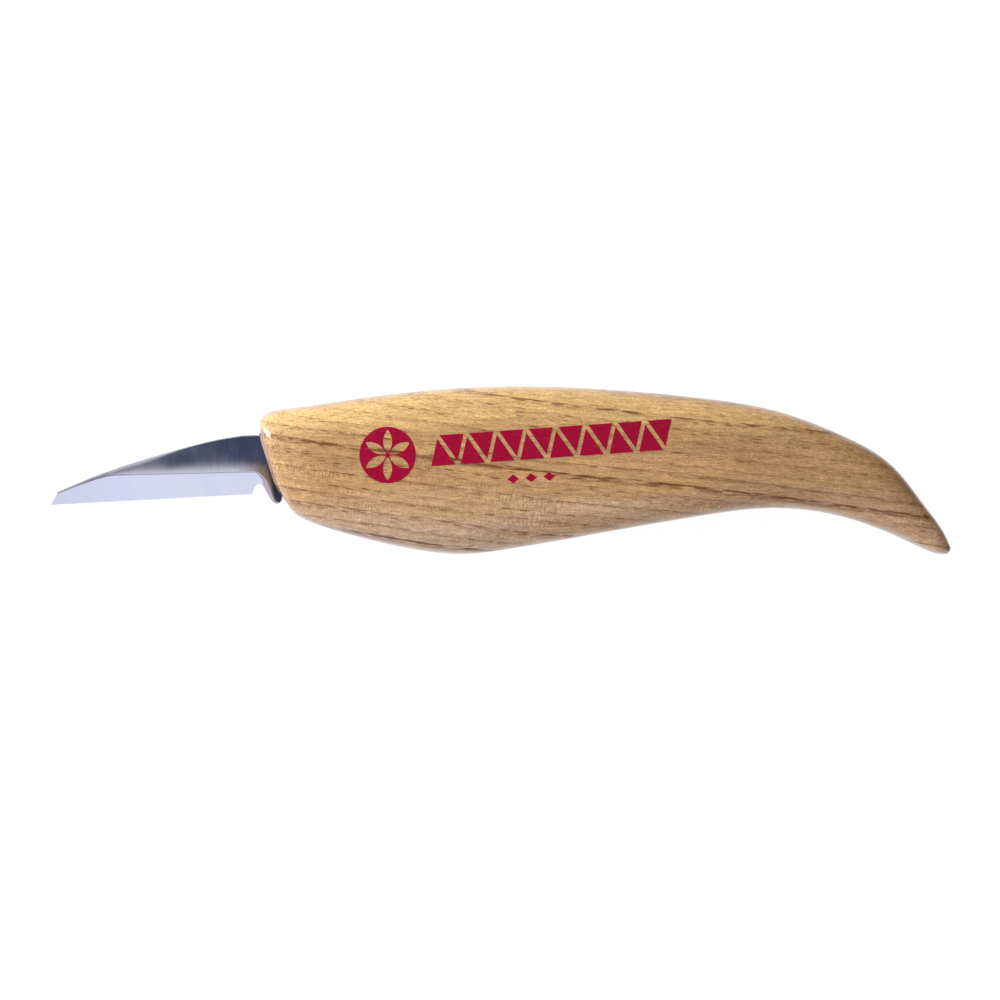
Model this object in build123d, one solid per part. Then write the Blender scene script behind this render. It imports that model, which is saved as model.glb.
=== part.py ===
from build123d import *
from math import cos, pi, sin, sqrt
import os

# Chip carving knife: a one-piece ash grip, a carbon steel blade whose stick tang is bedded in adhesive
# inside the grip, and an ornament printed on one flat side. All sizes are in millimetres.
#
# The parts are drawn with X from the blade's tip to the butt, Y up towards the spine and Z across the
# blade, zero on its mid-plane. They are then moved together, so that the knife lies on its side with the
# origin at the middle of its underside.

# Grip. The two lines run from the middle of the front face to the tip of the butt.
BACK_LINE = [
    (39.65, 7.2), (39.65, 9.2), (40.3, 10.4), (41.6, 11.1), (45.0, 11.7), (55.0, 13.15), (68.0, 14.8),
    (85.0, 15.85), (105.0, 15.3), (125.0, 13.45), (137.0, 11.3), (149.0, 6.9), (159.0, 0.95),
    (165.2, -6.7), (169.4, -13.0), (170.0, -14.7),
]
BELLY_LINE = [
    (42.95, -3.2), (44.0, -5.1), (45.8, -7.7), (50.2, -10.1), (60.0, -13.0), (70.0, -15.1), (77.4, -15.75),
    (86.5, -14.85), (104.0, -11.8), (122.0, -8.7), (136.0, -7.1), (147.0, -8.1), (159.0, -12.0),
    (165.1, -14.8), (168.3, -15.8), (169.6, -15.6), (170.0, -14.7),
]
GRIP_THICKNESS = 20.0  # between the two flat sides
SIDE_CROWN = 0.35  # the sides are shaped this much proud of the flats, and then planed off
FRONT_THINNING = 2.3  # the half thickness lost from the middle of the grip to its front
BUTT_THINNING = 3.4  # and to its butt
FRONT_THINS_BEFORE = 0.12  # shares of the grip's length
BUTT_THINS_AFTER = 0.54
FRONT_ROUND = 2.8
FRONT_ROUND_SHARE = 0.045
BUTT_ROUND = 3.0
BUTT_ROUND_SHARE = 0.035
RIB_SQUARENESS = 4.0  # 2 is an ellipse, and more is squarer
END_SQUARENESS = 2.8
SWELL_SKEW = 0.8  # below 1, the squarest rib is behind the middle of the grip
RIBS = 30
RIB_POINTS = 28
LAST_RIB = 0.9985  # as a share of the grip's length

# Blade
BLADE_THICKNESS = 2.4
EDGE_THICKNESS = 0.06
SPINE_LINE = [
    (1.55, -3.8), (7.5, -1.4), (15.0, 1.25), (24.2, 4.0), (31.5, 5.85), (36.0, 6.62), (43.0, 6.75),
]
TIP = (0.0, -6.5)
TIP_CORNER = [(0.98, -4.5), (1.18, -4.1)]
EDGE_END = (37.8, -4.46)
NOTCH_LIP = [(38.17, -4.33), (38.3, -3.95)]
NOTCH = [(39.4, -2.63), (40.5, -3.5)]
GUARD_FOOT = [(41.95, -5.75), (43.05, -6.27), (43.85, -5.3)]
SHOULDER = [(43.55, -4.2), (44.0, -2.0)]  # these two points are inside the grip

# Hollow under each flat of the blade: at each station along X, where the bevel meets the upper facet,
# the blade's half thickness there, and where the upper facet meets the flat.
BEVEL_STATIONS = [
    (-4.0, -6.9, 0.16, 2.5),
    (1.3, -4.35, 0.45, 2.4),
    (6.0, -2.55, 0.78, 2.3),
    (12.0, -0.9, 1.02, 2.1),
    (46.0, -0.25, 1.12, 1.1),
]
PLUNGE_TOP = [(38.6, 1.05), (40.9, -0.6), (43.0, -7.2)]  # where the plunge's wall meets the blade's flat
PLUNGE_FOOT = [(38.6, -0.35), (39.9, -1.6), (41.6, -7.2)]  # and where it would meet the mid-plane
PLUNGE_RUNS = [(1, 0, 0), (0.3, -1, 0)]  # the directions that both lines start and end in
BEHIND_PLUNGE = 50.0  # an X well inside the grip
ABOVE_SPINE = 12.0

# Tang, mortise and adhesive
TANG_LENGTH = 42.0
TANG_FROM = 39.0  # the X where the tang's outline starts, inside the blade
TANG_ROOT = (5.2, -1.6)
TANG_END = (3.6, -0.4)
TANG_CORNER = 1.0
KEYS_FROM = 53.0  # the X of the first key
KEY_RADIUS = 0.9
KEY_OUTSET = 0.2  # from the tang's edge to the key's centre
KEY_PITCH = 10.0
KEYS = 3
MORTISE_FROM = 36.0  # an X in front of the grip
MORTISE_GAP = 0.25
MORTISE_END_GAP = 1.5
BEAD = 0.3  # the adhesive that shows round the blade at the grip's face
BEAD_STRIP = (36.0, 48.0)  # the stretch of X that holds it

# Printed ornament
INK = 0.05
ROSETTE_AT = (63.8, 2.9)
ROSETTE_RADIUS = 5.3
PETALS = 6
PETAL_START = 0.35
PETAL_LENGTH = 4.4
PETAL_WIDTH = 1.7
BORDER_FROM = (72.0, 0.8)
BORDER_TURN = 4.0
CELLS = 8
CELL_PITCH = 5.6
CELL_HEIGHT = 5.7
CELL_SLANT = 1.6
CELL_GAP = 0.7
CELL_LEAN = 0.3  # how far the cut corners slide along, as a share of half a gap
DOTS = 3
DOT_PITCH = 3.4
DOT_SIZE = 1.1
DOT_FLATNESS = 0.75  # a lozenge's height over its width
DOTS_FROM = (87.4, -1.6)

HALF = GRIP_THICKNESS / 2
BLADE_HALF = BLADE_THICKNESS / 2
DEEP = 30.0  # longer than the knife is thick
LONG = 400.0  # twice as far as the knife reaches, and more


def outline(*runs):
    """A flat face inside a closed string of lines and curves."""
    return Face(Wire([edge for run in runs for edge in run.edges()]))


def prism(face, half_height):
    """A flat face made solid to the same height on both sides of the mid-plane."""
    return extrude(face, amount=half_height, both=True)


# --- Grip ---------------------------------------------------------------------------------------------


def half_thickness(share):
    """The grip's half thickness at a share of its length, from its front face to its butt."""
    half = HALF + SIDE_CROWN
    if share < FRONT_THINS_BEFORE:
        half -= FRONT_THINNING * (1 - share / FRONT_THINS_BEFORE) ** 2
    if share > BUTT_THINS_AFTER:
        half -= BUTT_THINNING * ((share - BUTT_THINS_AFTER) / (1 - BUTT_THINS_AFTER)) ** 2
    if share < FRONT_ROUND_SHARE:
        half -= FRONT_ROUND * (1 - sqrt(1 - (1 - share / FRONT_ROUND_SHARE) ** 2))
    from_butt = 1 - share
    if from_butt < BUTT_ROUND_SHARE:
        half -= BUTT_ROUND * (1 - sqrt(1 - (1 - from_butt / BUTT_ROUND_SHARE) ** 2))
    return half


def squareness(share):
    """How square a rib of the grip is: its ends are rounder than its middle."""
    return END_SQUARENESS + (RIB_SQUARENESS - END_SQUARENESS) * sqrt(sin(pi * share**SWELL_SKEW))


def rib(back, belly, half, power):
    """One cross-section of the grip, between a point of its back and one of its belly."""
    centre = (back + belly) * 0.5
    reach = (back - belly) * 0.5
    points = []
    for step in range(RIB_POINTS):
        angle = 2 * pi * step / RIB_POINTS
        along, across = cos(angle), sin(angle)
        radius = (abs(along) ** power + abs(across) ** power) ** (-1 / power)
        points.append(centre + reach * (radius * along) + Vector(0, 0, half * radius * across))
    return Face(Wire([Spline(*points, periodic=True)]))


def grip_body():
    """The whole grip without its mortise."""
    back, belly = Spline(*BACK_LINE), Spline(*BELLY_LINE)
    ribs = []
    for number in range(RIBS):
        share = LAST_RIB * 0.5 * (1 - cos(pi * number / (RIBS - 1)))
        ends = back.position_at(share), belly.position_at(share)
        ribs.append(rib(*ends, half_thickness(share), squareness(share)))
    return loft(ribs) & Box(LONG, LONG, GRIP_THICKNESS)


# --- Blade --------------------------------------------------------------------------------------------


def blade_blank():
    """The blade's outline from the side, with a rear edge that reaches into the grip, full thickness."""
    start = SPINE_LINE[0]
    face = outline(
        Spline(*SPINE_LINE),
        Polyline(SPINE_LINE[-1], *reversed(SHOULDER), GUARD_FOOT[2]),
        ThreePointArc(GUARD_FOOT[2], GUARD_FOOT[1], GUARD_FOOT[0]),
        Line(GUARD_FOOT[0], NOTCH[1]),
        ThreePointArc(NOTCH[1], NOTCH[0], NOTCH_LIP[1]),
        ThreePointArc(NOTCH_LIP[1], NOTCH_LIP[0], EDGE_END),
        Line(EDGE_END, TIP),
        Line(TIP, TIP_CORNER[0]),
        ThreePointArc(TIP_CORNER[0], TIP_CORNER[1], start),
    )
    return prism(face, BLADE_HALF)


def edge_height(x):
    """The cutting edge's Y at X."""
    slope = (EDGE_END[1] - TIP[1]) / (EDGE_END[0] - TIP[0])
    return TIP[1] + slope * (x - TIP[0])


def ground_section(x, bevel_top, bevel_half, facet_top):
    """The blade's cross-section at X, from its edge up past its spine, with both bevels and facets."""
    side = [
        (edge_height(x), EDGE_THICKNESS / 2),
        (bevel_top, bevel_half),
        (facet_top, BLADE_HALF),
        (ABOVE_SPINE, BLADE_HALF),
    ]
    ring = side + [(y, -z) for y, z in reversed(side)]
    return Face(Wire(Polyline(*[Vector(x, y, z) for y, z in ring], close=True)))


def plunge_outline(points, z):
    """Everything behind a line of the plunge, as a flat face at the height z."""
    first, second, last = (Vector(x, y, z) for x, y in points)
    return outline(
        Spline(first, second, last, tangents=PLUNGE_RUNS),
        Polyline(last, (BEHIND_PLUNGE, last.Y, z), (BEHIND_PLUNGE, first.Y, z), first),
    )


def guard_block():
    """The full-thickness steel behind the plunge, whose sloping wall runs down to the bevels."""
    side = loft([plunge_outline(PLUNGE_FOOT, 0), plunge_outline(PLUNGE_TOP, BLADE_HALF)], ruled=True)
    return side + mirror(side, about=Plane.XY)


def rounded_bar(start_x, end_x, gap):
    """The tang's tapering outline from the side, with a gap all round it and its end's corners rounded."""
    face = Face(
        Wire(
            Polyline(
                (start_x, TANG_ROOT[0] + gap), (end_x, TANG_END[0] + gap),
                (end_x, TANG_END[1] - gap), (start_x, TANG_ROOT[1] - gap),
                close=True,
            )
        )
    )
    ends = [v for v in face.vertices() if v.X > (start_x + end_x) / 2]
    return fillet(ends, TANG_CORNER)


def tang():
    """The stick tang, with scallops on both edges that key it into the adhesive."""
    end_x = BELLY_LINE[0][0] + TANG_LENGTH
    bar = prism(rounded_bar(TANG_FROM, end_x, 0), BLADE_HALF)
    for number in range(KEYS):
        x = KEYS_FROM + KEY_PITCH * number
        share = (x - TANG_FROM) / (end_x - TANG_FROM)
        for root, end in zip(TANG_ROOT, TANG_END):
            y = root + (end - root) * share
            outset = KEY_OUTSET if root > 0 else -KEY_OUTSET
            bar -= Pos(x, y + outset, 0) * Cylinder(KEY_RADIUS, DEEP)
    return bar


def blade(grip):
    """The whole blade: ground outside the grip, with its tang inside."""
    ground = loft([ground_section(*station) for station in BEVEL_STATIONS], ruled=True)
    outside = blade_blank() & (ground + guard_block())
    return (outside - grip) + tang()


# --- Mortise and adhesive -----------------------------------------------------------------------------


def mortise():
    """The pocket that is cut in the grip for the tang."""
    end_x = BELLY_LINE[0][0] + TANG_LENGTH + MORTISE_END_GAP
    return prism(rounded_bar(MORTISE_FROM, end_x, MORTISE_GAP), BLADE_HALF + MORTISE_GAP)


def adhesive(grip, steel):
    """The adhesive round the tang, with the thin bead that shows along the blade at the grip's face."""
    bed = mortise() & grip
    top, foot = SPINE_LINE[-1][1] + BEAD, SHOULDER[0][1]
    front, rear = BEAD_STRIP
    size = rear - front, top - foot, BLADE_THICKNESS + 2 * BEAD
    strip = Pos((front + rear) / 2, (top + foot) / 2, 0) * Box(*size)
    bead = ((Pos(-BEAD, 0, 0) * grip) & strip) - grip
    return (bed + bead) - steel


# --- Printed ornament ---------------------------------------------------------------------------------


def petal(length, width):
    """A pointed petal along X from the origin, between two arcs."""
    return outline(
        ThreePointArc((0, 0), (length / 2, width / 2), (length, 0)),
        ThreePointArc((length, 0), (length / 2, -width / 2), (0, 0)),
    )


def rosette():
    """A disc with a rosette of petals left unprinted."""
    disc = Face(Wire(CenterArc((0, 0), ROSETTE_RADIUS, 0, 360)))
    for number in range(PETALS):
        turn = Rot(0, 0, 90 + 360 / PETALS * number)
        disc -= turn * Pos(PETAL_START, 0) * petal(PETAL_LENGTH, PETAL_WIDTH)
    return (Pos(*ROSETTE_AT) * disc).faces()


def border():
    """A row of slanting cells, each cut in two along its diagonal."""
    place = Pos(*BORDER_FROM) * Rot(0, 0, BORDER_TURN)
    width = CELL_PITCH - CELL_GAP
    cut = CELL_GAP / 2
    lean = cut * CELL_LEAN
    faces = []
    for number in range(CELLS):
        x = CELL_PITCH * number
        lower = [(x, 0), (x + width - cut, 0), (x + CELL_SLANT - lean, CELL_HEIGHT - 2 * cut)]
        upper = [
            (x + width + CELL_SLANT, CELL_HEIGHT), (x + CELL_SLANT + cut, CELL_HEIGHT),
            (x + width + lean, 2 * cut),
        ]
        for corners in (lower, upper):
            faces.append(place * Face(Wire(Polyline(*corners, close=True))))
    return faces


def dots():
    """Small lozenges in a row under the border."""
    place = Pos(*DOTS_FROM) * Rot(0, 0, BORDER_TURN)
    wide, high = DOT_SIZE, DOT_SIZE * DOT_FLATNESS
    lozenge = [(-wide, 0), (0, -high), (wide, 0), (0, high)]
    return [
        place * Pos(DOT_PITCH * number, 0) * Face(Wire(Polyline(*lozenge, close=True)))
        for number in range(DOTS)
    ]


def printed(faces):
    """Flat shapes laid on the grip's upper flat as a film of ink."""
    films = []
    for face in faces:
        films.extend(extrude(Pos(0, 0, HALF) * face, amount=INK, dir=(0, 0, 1)).solids())
    return Compound(children=films)


# --- Assembly -----------------------------------------------------------------------------------------


def build():
    """Every part of the knife by name, in the drawing frame."""
    whole_grip = grip_body()
    steel = blade(whole_grip)
    return {
        "grip": whole_grip - mortise(),
        "blade": steel,
        "tang_adhesive": adhesive(whole_grip, steel),
        "print_rosette": printed(rosette()),
        "print_border": printed(border()),
        "print_dots": printed(dots()),
    }


parts = build()
boxes = [part.bounding_box() for part in parts.values()]
low_x, high_x = min(b.min.X for b in boxes), max(b.max.X for b in boxes)
low_y, high_y = min(b.min.Y for b in boxes), max(b.max.Y for b in boxes)
move = Pos(-(low_x + high_x) / 2, -(low_y + high_y) / 2, HALF)
print("moved by", move.position)
os.makedirs("parts", exist_ok=True)
for name, part in parts.items():
    export_step(move * part, f"parts/{name}.step")
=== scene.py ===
"""The looks of a chip carving knife: a lacquered ash grip, a ground steel blade and a printed ornament."""

import logging
import math
from dataclasses import dataclass, field
from enum import Enum
from typing import Any, Iterator, Sequence

import bmesh
import bpy
import numpy as np
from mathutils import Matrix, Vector, noise


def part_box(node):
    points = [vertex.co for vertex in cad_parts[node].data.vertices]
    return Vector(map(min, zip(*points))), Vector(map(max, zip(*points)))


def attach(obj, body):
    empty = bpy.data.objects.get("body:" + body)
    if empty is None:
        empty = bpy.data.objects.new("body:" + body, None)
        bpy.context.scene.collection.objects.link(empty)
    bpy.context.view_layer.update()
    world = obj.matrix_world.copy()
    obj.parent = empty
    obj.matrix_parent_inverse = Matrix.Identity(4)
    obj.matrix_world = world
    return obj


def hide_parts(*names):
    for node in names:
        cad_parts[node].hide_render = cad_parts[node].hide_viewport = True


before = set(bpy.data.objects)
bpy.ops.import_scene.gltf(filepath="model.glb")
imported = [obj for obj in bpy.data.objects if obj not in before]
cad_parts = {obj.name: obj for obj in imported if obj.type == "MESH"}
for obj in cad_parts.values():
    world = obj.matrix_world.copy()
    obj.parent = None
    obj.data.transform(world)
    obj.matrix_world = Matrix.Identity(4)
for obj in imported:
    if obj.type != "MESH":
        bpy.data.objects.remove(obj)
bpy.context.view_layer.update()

MM = 0.001
BODY = "root"
Point = tuple[float, float]
Triple = tuple[float, float, float]
Colour = tuple[float, float, float, float]
log = logging.getLogger("knife")


# --- Shared geometry ----------------------------------------------------------------------------------


@dataclass(frozen=True)
class Layout:
    """Turns drawing sizes, in millimetres from the blade's tip, into places in the frame, in metres."""

    origin: Vector

    @classmethod
    def from_frame(cls, edge_below: float) -> "Layout":
        """Finds the drawing's origin from the blade's box.

        Args:
            edge_below: how far the lowest point of the cutting edge is under the drawing's X axis.

        Returns:
            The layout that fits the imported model.
        """
        low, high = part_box("blade")
        return cls(Vector((low.x, low.y + edge_below * MM, (low.z + high.z) / 2)))

    def at(self, x: float, y: float, z: float = 0.0) -> Vector:
        """Gives the place in the frame of a point of the drawing."""
        return self.origin + Vector((x, y, z)) * MM


class SmoothLine:
    """A smooth plane curve through a few points, read by its share of the way along."""

    def __init__(self, points: Sequence[Point], by_length: bool = True) -> None:
        """Fits a natural cubic spline.

        Args:
            points: the points that the curve passes through.
            by_length: whether a share is one of the curve's length, or of its number of points.
        """
        nodes = np.array(points, float)
        steps = np.hypot(*np.diff(nodes, axis=0).T) if by_length else np.ones(len(nodes) - 1)
        knots = np.concatenate([[0.0], np.cumsum(steps)])
        bend = self._second_derivatives(knots, nodes)
        self._line = self._sampled(knots, nodes, bend)
        if by_length:
            lengths = np.hypot(*np.diff(self._line, axis=0).T)
            self._along = np.concatenate([[0.0], np.cumsum(lengths)])
        else:
            self._along = np.linspace(0.0, 1.0, len(self._line))
        self._along /= self._along[-1]

    @staticmethod
    def _second_derivatives(knots: np.ndarray, nodes: np.ndarray) -> np.ndarray:
        """Solves for the spline's second derivative at each knot."""
        count = len(knots)
        gaps = np.diff(knots)
        matrix = np.eye(count)
        right = np.zeros((count, 2))
        for i in range(1, count - 1):
            matrix[i, i - 1 : i + 2] = gaps[i - 1], 2 * (gaps[i - 1] + gaps[i]), gaps[i]
            right[i] = 6 * ((nodes[i + 1] - nodes[i]) / gaps[i] - (nodes[i] - nodes[i - 1]) / gaps[i - 1])
        return np.linalg.solve(matrix, right)

    @staticmethod
    def _sampled(knots: np.ndarray, nodes: np.ndarray, bend: np.ndarray) -> np.ndarray:
        """Reads the spline at many even steps of its parameter."""
        t = np.linspace(knots[0], knots[-1], 2400)
        i = np.clip(np.searchsorted(knots, t, side="right") - 1, 0, len(knots) - 2)
        gap = (knots[i + 1] - knots[i])[:, None]
        a = (knots[i + 1] - t)[:, None]
        b = (t - knots[i])[:, None]
        curved = (bend[i] * a**3 + bend[i + 1] * b**3) / (6 * gap)
        start, end = (nodes[k] / gap - bend[k] * gap / 6 for k in (i, i + 1))
        return curved + (start * a + end * b)

    def at(self, share: float) -> np.ndarray:
        """Gives the point at a share of the curve, from 0 at its start to 1 at its end."""
        return np.array([np.interp(share, self._along, self._line[:, k]) for k in (0, 1)])

    def over(self, x: float) -> float:
        """Gives the curve's second coordinate over its first, for a curve that never turns back."""
        return float(np.interp(x, self._line[:, 0], self._line[:, 1]))


def soft_limit(value: float, limit: float, softness: float) -> float:
    """Keeps a value under a limit, and rounds the corner where it would meet it."""
    return 0.5 * (value + limit - math.sqrt((value - limit) ** 2 + softness**2))


def extrude_ring(mesh: bmesh.types.BMesh, ring: list) -> list:
    """Extrudes a closed ring of vertices.

    Args:
        mesh: the mesh that holds the ring.
        ring: its vertices in order.

    Returns:
        The new ring's vertices, in the same order.
    """
    edges = [mesh.edges.get((a, b)) for a, b in zip(ring, ring[1:] + ring[:1])]
    made = bmesh.ops.extrude_edge_only(mesh, edges=edges)["geom"]
    new = {part for part in made if isinstance(part, bmesh.types.BMVert)}
    return [next(e.other_vert(v) for e in v.link_edges if e.other_vert(v) in new) for v in ring]


def skin(rings: Sequence[Sequence[Vector]]) -> tuple[bmesh.types.BMesh, list[list]]:
    """Draws one closed skin over a row of rings, from a capped circle that is extruded ring by ring.

    Args:
        rings: the places of each ring's points. All rings have as many.

    Returns:
        The mesh, and the vertices of each ring.
    """
    mesh = bmesh.new()
    made = bmesh.ops.create_circle(mesh, cap_ends=True, radius=1.0, segments=len(rings[0]))
    ring = sorted(made["verts"], key=lambda v: math.atan2(v.co.y, v.co.x) % math.tau)
    all_rings = []
    for number, places in enumerate(rings):
        if number:
            ring = extrude_ring(mesh, ring)
        for vertex, place in zip(ring, places):
            vertex.co = place
        all_rings.append(ring)
    mesh.faces.new(ring)
    return mesh, all_rings


def as_object(mesh: bmesh.types.BMesh, name: str, smooth: bool = True) -> bpy.types.Object:
    """Turns a bmesh into an object at the origin, with its faces pointing outwards.

    Args:
        mesh: the finished mesh, which is freed.
        name: the object's name.
        smooth: whether its faces are shaded smoothly between sharp edges.

    Returns:
        The new object.
    """
    bmesh.ops.recalc_face_normals(mesh, faces=mesh.faces)
    for face in mesh.faces:
        face.smooth = smooth
    data = bpy.data.meshes.new(name)
    mesh.to_mesh(data)
    mesh.free()
    piece = bpy.data.objects.new(name, data)
    bpy.context.scene.collection.objects.link(piece)
    return piece


def install(piece: bpy.types.Object, slot: str, *nodes: str) -> None:
    """Sets a piece on the knife's one body, in the place of CAD nodes, and reports it."""
    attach(piece, BODY)
    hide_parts(*nodes)
    log.info("%s stands for %s: %d faces", piece.name, ", ".join(nodes), len(piece.data.polygons))


# --- Shared shader work -------------------------------------------------------------------------------


class Sheet:
    """A node tree that is filled one node at a time."""

    def __init__(self, tree: bpy.types.NodeTree) -> None:
        """Starts from an empty tree."""
        self.tree = tree
        self.tree.nodes.clear()

    def add(self, kind: str, inputs: dict[str | int, Any] | None = None, **settings: Any) -> bpy.types.Node:
        """Adds a node.

        Args:
            kind: the node's type without its ShaderNode prefix.
            inputs: what each input is linked to, or its value.
            **settings: the node's own settings.

        Returns:
            The new node.
        """
        node = self.tree.nodes.new("ShaderNode" + kind)
        for name, value in settings.items():
            setattr(node, name, value)
        for key, value in (inputs or {}).items():
            if isinstance(value, bpy.types.NodeSocket):
                self.tree.links.new(value, node.inputs[key])
            else:
                node.inputs[key].default_value = value
        return node

    def math(self, operation: str, *values: Any) -> bpy.types.NodeSocket:
        """Adds a sum and gives its result."""
        return self.add("Math", dict(enumerate(values)), operation=operation).outputs[0]

    def times(self, first: Any, second: Any) -> bpy.types.NodeSocket:
        """Multiplies two values."""
        return self.math("MULTIPLY", first, second)

    def vector(self, operation: str, *values: Any) -> bpy.types.NodeSocket:
        """Adds a vector sum and gives its result, which is a number for a length or a dot product."""
        node = self.add("VectorMath", dict(enumerate(values)), operation=operation)
        return node.outputs["Value" if operation in ("DOT_PRODUCT", "DISTANCE", "LENGTH") else "Vector"]

    def amplify(self, vector: Any, factor: Any) -> bpy.types.NodeSocket:
        """Multiplies a vector or a colour by a number."""
        return self.add("VectorMath", {0: vector, "Scale": factor}, operation="SCALE").outputs["Vector"]

    def axis(self, vector: Any, name: str) -> bpy.types.NodeSocket:
        """Gives a vector's X, Y or Z."""
        return self.add("SeparateXYZ", {"Vector": vector}).outputs[name]

    def ramp(self, value: Any, low: float, high: float, start: float = 0.0, end: float = 1.0) -> Any:
        """Turns a value between low and high smoothly into one between start and end."""
        inputs = {"Value": value, "From Min": low, "From Max": high, "To Min": start, "To Max": end}
        return self.add("MapRange", inputs, interpolation_type="SMOOTHSTEP").outputs["Result"]

    def mix(self, share: Any, first: Any, second: Any) -> bpy.types.NodeSocket:
        """Mixes two colours by a share of the second."""
        inputs = {0: share, 6: first, 7: second}
        return self.add("Mix", inputs, data_type="RGBA").outputs[2]

    def tone(self, colour: Any, value: Any, low: float, high: float, depth: float) -> bpy.types.NodeSocket:
        """Darkens and lightens a colour as a pattern's value goes from low to high.

        Args:
            colour: the colour.
            value: the pattern.
            low: the pattern's value where the colour is darkest.
            high: its value where the colour is lightest.
            depth: how far the tone swings to each side of 1.

        Returns:
            The toned colour.
        """
        factor = self.ramp(value, low, high, 1.0 - depth, 1.0 + depth)
        return self.amplify(colour[:3] if isinstance(colour, tuple) else colour, factor)

    def scaled(self, vector: Any, scale: Triple) -> bpy.types.NodeSocket:
        """Stretches a vector."""
        return self.add("Mapping", {"Vector": vector, "Scale": scale}).outputs[0]

    def noise(self, vector: Any, size: Triple, detail: float = 2.0, output: str = "Fac") -> Any:
        """Adds a noise pattern with grains of a size, and gives its value or its colour."""
        sized = self.scaled(vector, tuple(1 / s for s in size))
        return self.add("TexNoise", {"Vector": sized, "Scale": 1.0, "Detail": detail}).outputs[output]

    def bump(self, height: Any, strength: float, reach: float, invert: bool = False) -> Any:
        """Turns a height, which is as many millimetres as its reach where it is 1, into a normal."""
        inputs = {"Height": height, "Strength": strength, "Distance": reach * MM}
        return self.add("Bump", inputs, invert=invert).outputs[0]

    def finish(self, inputs: dict[str, Any]) -> None:
        """Ends the tree with the shader that has these inputs."""
        shader = self.add("BsdfPrincipled", inputs)
        self.add("OutputMaterial", {"Surface": shader.outputs[0]})


def linear(red: int, green: int, blue: int) -> Colour:
    """Gives the linear colour of a display colour with channels from 0 to 255."""
    channels = [c / 255 for c in (red, green, blue)]
    return (*(c / 12.92 if c <= 0.04045 else ((c + 0.055) / 1.055) ** 2.4 for c in channels), 1.0)


def new_group(name: str, inputs: dict[str, float], outputs: Sequence[str]) -> tuple[Sheet, Any, Any]:
    """Starts a shader group that reads a vector and some numbers, and gives masks.

    Args:
        name: the group's name.
        inputs: the usual value of each number that it reads, by name.
        outputs: the names of its masks.

    Returns:
        The group's sheet, its input node and its output node.
    """
    tree = bpy.data.node_groups.new(name, "ShaderNodeTree")
    tree.interface.new_socket("Vector", in_out="INPUT", socket_type="NodeSocketVector")
    for name, value in inputs.items():
        socket = tree.interface.new_socket(name, in_out="INPUT", socket_type="NodeSocketFloat")
        socket.default_value = value
    for name in outputs:
        tree.interface.new_socket(name, in_out="OUTPUT", socket_type="NodeSocketFloat")
    sheet = Sheet(tree)
    return sheet, tree.nodes.new("NodeGroupInput"), tree.nodes.new("NodeGroupOutput")


def use_group(sheet: Sheet, group: bpy.types.NodeTree, place: Any, **values: float) -> Any:
    """Places a shader group in a material.

    Args:
        sheet: the material's sheet.
        group: the group.
        place: the coordinates that it reads.
        **values: the material's own numbers for it, with _ for a space in a name.

    Returns:
        The placed group's outputs.
    """
    node = sheet.add("Group")
    node.node_tree = group
    sheet.tree.links.new(place, node.inputs["Vector"])
    for name, value in values.items():
        node.inputs[name.replace("_", " ")].default_value = value
    return node.outputs


def new_material(name: str) -> tuple[bpy.types.Material, Sheet, bpy.types.NodeSocket]:
    """Starts a material.

    Args:
        name: the material's name.

    Returns:
        The material, its sheet, and its Object coordinates in millimetres.
    """
    material = bpy.data.materials.new(name)
    material.use_nodes = True
    sheet = Sheet(material.node_tree)
    place = sheet.add("TexCoord").outputs["Object"]
    return material, sheet, sheet.scaled(place, (1 / MM, 1 / MM, 1 / MM))


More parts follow.
